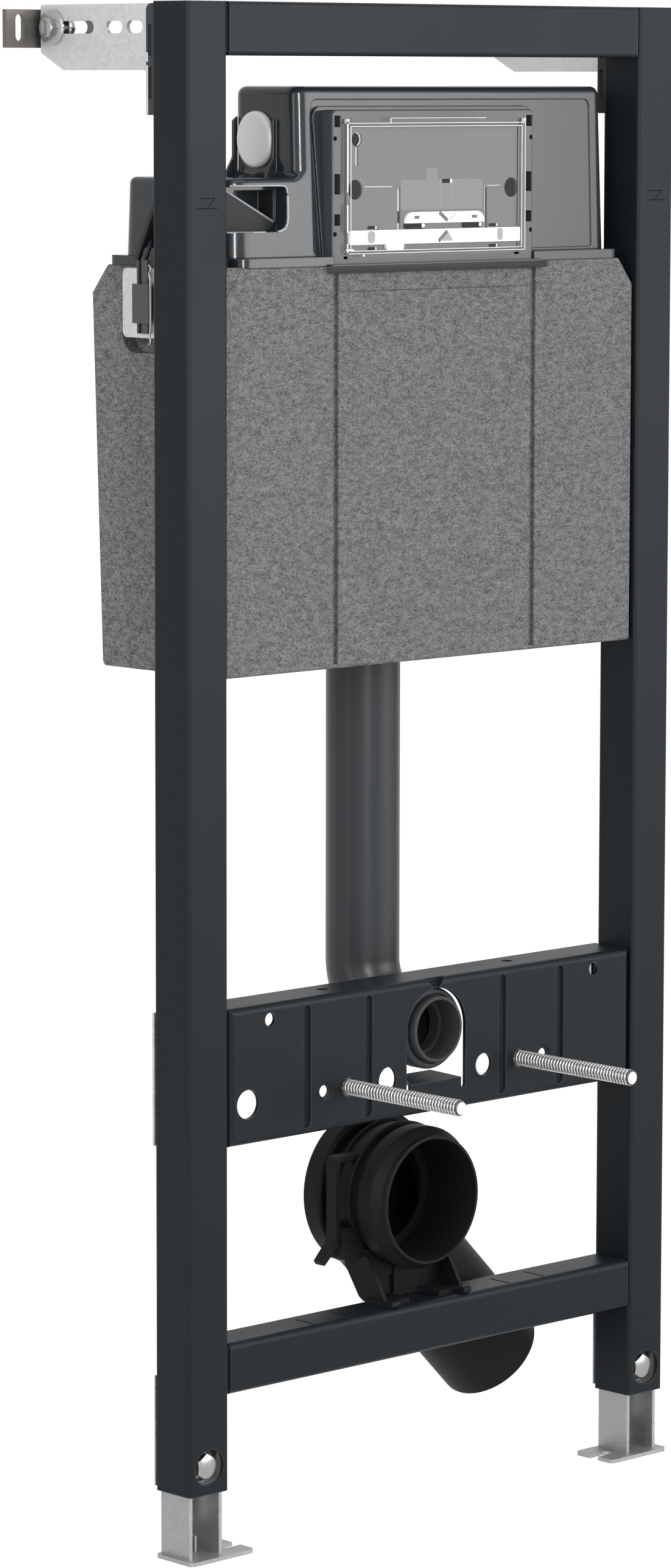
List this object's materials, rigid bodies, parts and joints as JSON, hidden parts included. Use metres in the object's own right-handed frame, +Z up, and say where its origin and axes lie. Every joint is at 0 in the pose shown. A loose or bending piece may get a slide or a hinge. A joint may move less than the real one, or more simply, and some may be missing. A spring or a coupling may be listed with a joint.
{
  "type": "wall hung toilet frame",
  "caption": "Free-standing steel installation frame with insulated concealed cistern, flush pipe and waste bend for a wall hung toilet.",
  "frame": {"origin": "on the wall face of the left wall angle, 19 mm outside the left post's middle, 1107 mm above the floor face of the feet", "axes": "+X along the wall to the right as seen from the room, +Y towards the wall, +Z up"},
  "size_m": [0.5277, 0.286, 1.126],
  "materials": {
    "black_plastic": "matt moulded black plastic",
    "bright_zinc": "bright zinc-plated screws",
    "clear_plastic": "thin clear grey plastic",
    "foam": "grey bead foam with dark specks",
    "light_plastic": "light grey plastic",
    "painted_steel": "satin powder coat, dark grey",
    "panel_plastic": "light grey-green moulded plastic",
    "tank_plastic": "blow-moulded dark grey-blue plastic, satin gloss",
    "white_plastic": "white moulded plastic of the levers",
    "zinc_plate": "matt galvanised sheet"
  },
  "bodies": {
    "wall_fixing": {"wall_angle_left": "zinc_plate", "wall_angle_right": "zinc_plate"},
    "frame": {"back_plate_left": "painted_steel", "back_plate_right": "painted_steel", "bracket_carrier_left": "black_plastic", "bracket_carrier_right": "black_plastic", "cistern_tank": "tank_plastic", "clamp_bolt_left": "bright_zinc", "clamp_bolt_right": "bright_zinc", "flush_bar": "white_plastic", "flush_bridge": "white_plastic", "flush_pipe": "black_plastic", "flush_socket": "black_plastic", "hanger_clip_left": "zinc_plate", "hanger_clip_right": "zinc_plate", "hanger_panel_left": "zinc_plate", "hanger_panel_right": "zinc_plate", "inlet_plug": "light_plastic", "insulation_shell": "foam", "lever_plate": "white_plastic", "lower_bar": "painted_steel", "mounting_plate": "painted_steel", "pan_stud_left": "bright_zinc", "pan_stud_right": "bright_zinc", "plate_strap_left": "painted_steel", "plate_strap_right": "painted_steel", "post_left": "painted_steel", "post_right": "painted_steel", "service_cover": "clear_plastic", "service_frame": "tank_plastic", "service_panel": "panel_plastic", "strap_lever": "black_plastic", "tank_rim": "tank_plastic", "top_bar": "painted_steel", "wall_bolt_left": "bright_zinc", "wall_bolt_right": "bright_zinc", "wall_bracket_left": "zinc_plate", "wall_bracket_right": "zinc_plate", "waste_bend": "black_plastic", "waste_cradle": "black_plastic", "waste_strap": "black_plastic"},
    "foot_left": {"foot_left": "zinc_plate"},
    "foot_right": {"foot_right": "zinc_plate"}
  },
  "joints": [
    {"name": "wall_distance", "type": "slide", "parent": "wall_fixing", "child": "frame", "axis": [0, -1, 0], "range_m": [0, 0.03]},
    {"name": "foot_left_height", "type": "slide", "parent": "frame", "child": "foot_left", "axis": [0, 0, -1], "range_m": [-0.04, 0.15]},
    {"name": "foot_right_height", "type": "slide", "parent": "frame", "child": "foot_right", "axis": [0, 0, -1], "range_m": [-0.04, 0.15]}
  ]
}
